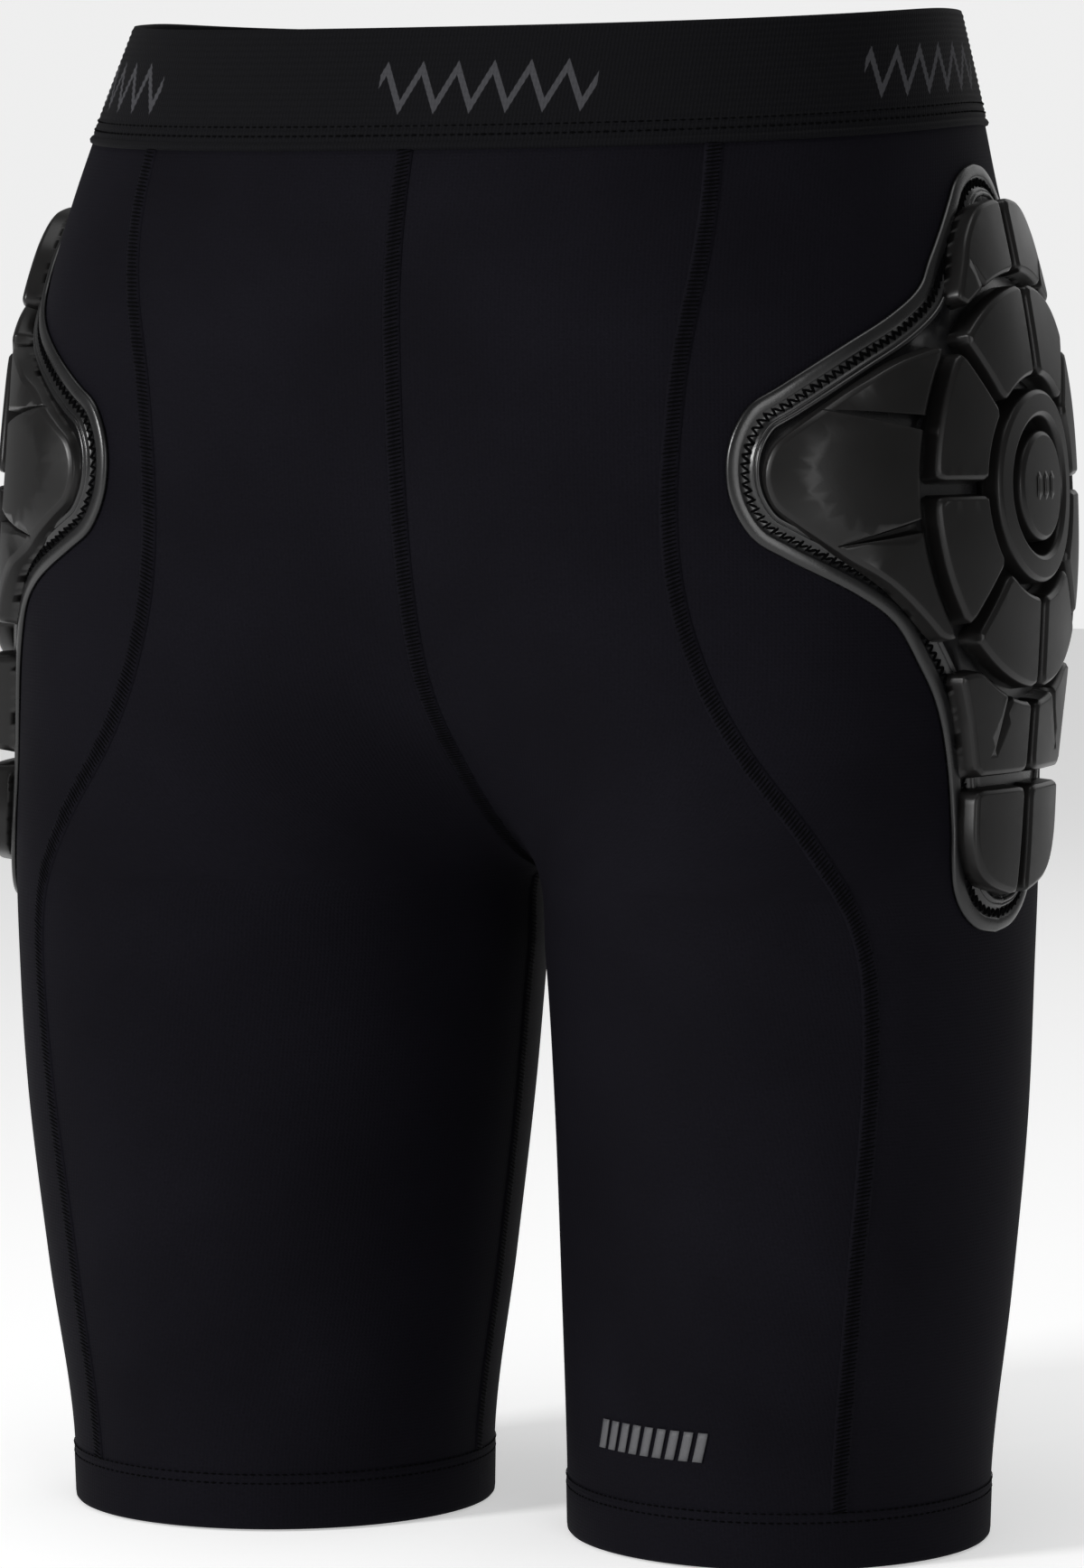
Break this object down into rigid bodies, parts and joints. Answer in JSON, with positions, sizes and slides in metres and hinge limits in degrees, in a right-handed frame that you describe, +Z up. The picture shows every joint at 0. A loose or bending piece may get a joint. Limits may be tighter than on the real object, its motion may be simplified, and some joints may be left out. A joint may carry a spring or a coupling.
{
  "type": "padded impact shorts",
  "caption": "Close-fitting knee-length knit shorts with an elastic waistband, segmented moulded hip pads and a tailbone pad",
  "frame": {"origin": "Middle of the waist opening, level with the top of the waistband at the wearer's sides, where the body holds the shorts up", "axes": "+Z up along the body, -Y to the wearer's front, +X to the wearer's left"},
  "size_m": [0.362, 0.2588, 0.496],
  "materials": {
    "stretch_knit": "matte black stretch knit",
    "waistband_elastic": "fine ribbed woven elastic",
    "pad_base_sheet": "smooth satin film over thin foam",
    "moulded_pad": "satin moulded skin over soft foam"
  },
  "bodies": {
    "hips": {"back_panel_left": "stretch_knit", "back_panel_right": "stretch_knit", "flex_band_left": "stretch_knit", "flex_band_right": "stretch_knit", "front_panel_left": "stretch_knit", "front_panel_right": "stretch_knit", "hip_button_left": "moulded_pad", "hip_button_right": "moulded_pad", "hip_end_pod_front_left": "moulded_pad", "hip_end_pod_front_right": "moulded_pad", "hip_end_pod_rear_left": "moulded_pad", "hip_end_pod_rear_right": "moulded_pad", "hip_front_lobe_left": "moulded_pad", "hip_front_lobe_right": "moulded_pad", "hip_lower_pod_front_left": "moulded_pad", "hip_lower_pod_front_right": "moulded_pad", "hip_lower_pod_rear_left": "moulded_pad", "hip_lower_pod_rear_right": "moulded_pad", "hip_pad_base_left": "pad_base_sheet", "hip_pad_base_right": "pad_base_sheet", "hip_rear_lobe_left": "moulded_pad", "hip_rear_lobe_right": "moulded_pad", "hip_ring_left": "moulded_pad", "hip_ring_right": "moulded_pad", "hip_sector_1_left": "moulded_pad", "hip_sector_1_right": "moulded_pad", "hip_sector_2_left": "moulded_pad", "hip_sector_2_right": "moulded_pad", "hip_sector_3_left": "moulded_pad", "hip_sector_3_right": "moulded_pad", "hip_sector_4_left": "moulded_pad", "hip_sector_4_right": "moulded_pad", "hip_sector_5_left": "moulded_pad", "hip_sector_5_right": "moulded_pad", "hip_sector_6_left": "moulded_pad", "hip_sector_6_right": "moulded_pad", "hip_sector_7_left": "moulded_pad", "hip_sector_7_right": "moulded_pad", "hip_sector_8_left": "moulded_pad", "hip_sector_8_right": "moulded_pad", "hip_upper_pod_front_left": "moulded_pad", "hip_upper_pod_front_right": "moulded_pad", "hip_upper_pod_rear_left": "moulded_pad", "hip_upper_pod_rear_right": "moulded_pad", "side_panel_left": "stretch_knit", "side_panel_right": "stretch_knit", "tail_lower_pod": "moulded_pad", "tail_pad_base": "pad_base_sheet", "tail_upper_pod_left": "moulded_pad", "tail_upper_pod_right": "moulded_pad", "waistband": "waistband_elastic"},
    "leg_left": {"front_leg_left": "stretch_knit", "side_leg_left": "stretch_knit", "back_leg_left": "stretch_knit", "hem_left": "stretch_knit"},
    "leg_right": {"front_leg_right": "stretch_knit", "side_leg_right": "stretch_knit", "back_leg_right": "stretch_knit", "hem_right": "stretch_knit"}
  },
  "joints": [
    {"name": "leg_left_swing", "type": "hinge", "parent": "hips", "child": "leg_left", "pos_m": [0.0908, -0.009, -0.3535], "axis": [-1, 0, 0], "range_deg": [-20, 45], "stiffness_Nm_per_rad": 0.05, "deforming": ["flex_band_left"]},
    {"name": "leg_right_swing", "type": "hinge", "parent": "hips", "child": "leg_right", "pos_m": [-0.0908, -0.009, -0.3535], "axis": [-1, 0, 0], "range_deg": [-20, 45], "stiffness_Nm_per_rad": 0.05, "deforming": ["flex_band_right"]}
  ]
}
